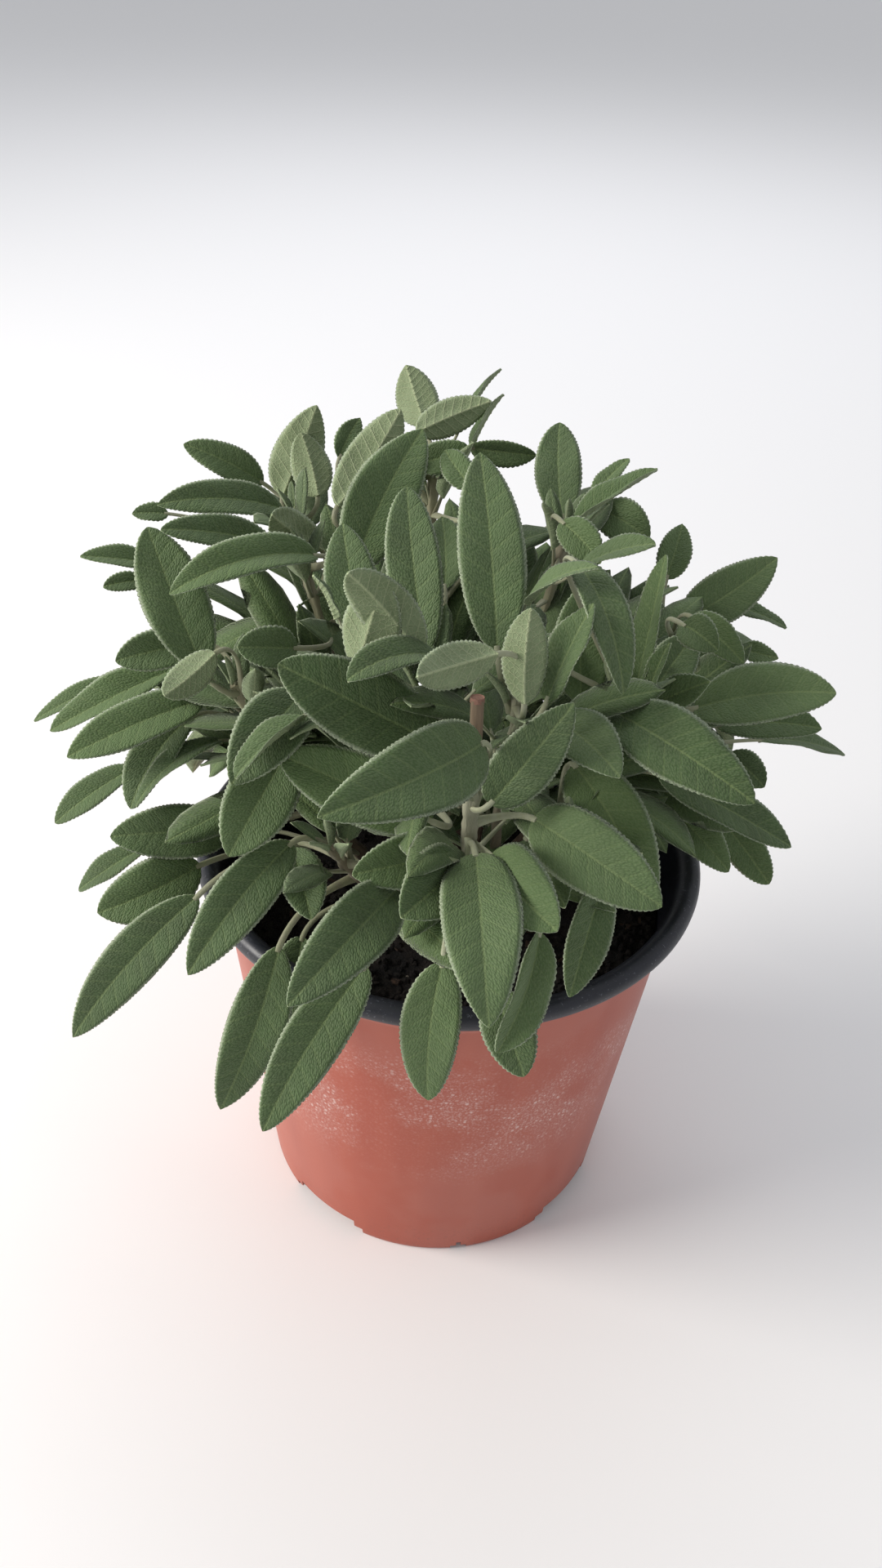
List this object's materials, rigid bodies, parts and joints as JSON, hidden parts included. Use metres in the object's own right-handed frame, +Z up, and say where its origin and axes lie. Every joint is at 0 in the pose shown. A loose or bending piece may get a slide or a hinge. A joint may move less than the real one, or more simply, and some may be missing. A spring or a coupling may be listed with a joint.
{
  "type": "potted sage",
  "caption": "Bushy garden sage with felted grey-green leaves on leaning shoots, growing in a tapered terracotta-coloured nursery pot with a black rolled rim.",
  "frame": {"origin": "middle of the pot's foot, on the surface it stands on", "axes": "+Z up through the pot, -Y to the front of the plant, where its lowest leaves hang over the rim, +X to its right seen from the front"},
  "size_m": [0.2853, 0.2529, 0.2777],
  "materials": {
    "pot_terracotta": "satin, dusty terracotta-coloured plastic",
    "pot_black": "satin black plastic",
    "soil": "dark damp potting mix with bark crumbs",
    "sage_stem": "downy, brownish low down and pale green above",
    "sage_leaf": "felted grey-green, paler below"
  },
  "bodies": {
    "root": {"leaf_back_1": "sage_leaf", "leaf_back_2": "sage_leaf", "leaf_back_3": "sage_leaf", "leaf_back_4": "sage_leaf", "leaf_back_5": "sage_leaf", "leaf_back_left_1": "sage_leaf", "leaf_back_left_2": "sage_leaf", "leaf_back_left_3": "sage_leaf", "leaf_back_left_4": "sage_leaf", "leaf_back_left_5": "sage_leaf", "leaf_centre_1": "sage_leaf", "leaf_centre_2": "sage_leaf", "leaf_far_right_1": "sage_leaf", "leaf_far_right_2": "sage_leaf", "leaf_far_right_3": "sage_leaf", "leaf_far_right_4": "sage_leaf", "leaf_front_1": "sage_leaf", "leaf_front_2": "sage_leaf", "leaf_front_3": "sage_leaf", "leaf_front_4": "sage_leaf", "leaf_front_5": "sage_leaf", "leaf_front_left_1": "sage_leaf", "leaf_front_left_2": "sage_leaf", "leaf_front_left_3": "sage_leaf", "leaf_front_left_4": "sage_leaf", "leaf_left_1": "sage_leaf", "leaf_left_2": "sage_leaf", "leaf_left_3": "sage_leaf", "leaf_left_4": "sage_leaf", "leaf_left_5": "sage_leaf", "leaf_left_6": "sage_leaf", "leaf_left_7": "sage_leaf", "leaf_left_8": "sage_leaf", "leaf_left_centre_1": "sage_leaf", "leaf_left_centre_2": "sage_leaf", "leaf_low_right_1": "sage_leaf", "leaf_right_1": "sage_leaf", "leaf_right_2": "sage_leaf", "leaf_top_1": "sage_leaf", "leaf_top_2": "sage_leaf", "leaf_top_3": "sage_leaf", "leaf_upper_left_1": "sage_leaf", "leaf_upper_left_2": "sage_leaf", "leaf_upper_right_1": "sage_leaf", "pot_lining": "pot_black", "pot_shell": "pot_terracotta", "soil": "soil", "stem_back": "sage_stem", "stem_back_left": "sage_stem", "stem_centre": "sage_stem", "stem_far_right": "sage_stem", "stem_front": "sage_stem", "stem_front_left": "sage_stem", "stem_left": "sage_stem", "stem_left_centre": "sage_stem", "stem_low_right": "sage_stem", "stem_right": "sage_stem", "stem_top": "sage_stem", "stem_upper_left": "sage_stem", "stem_upper_right": "sage_stem"}
  },
  "joints": []
}
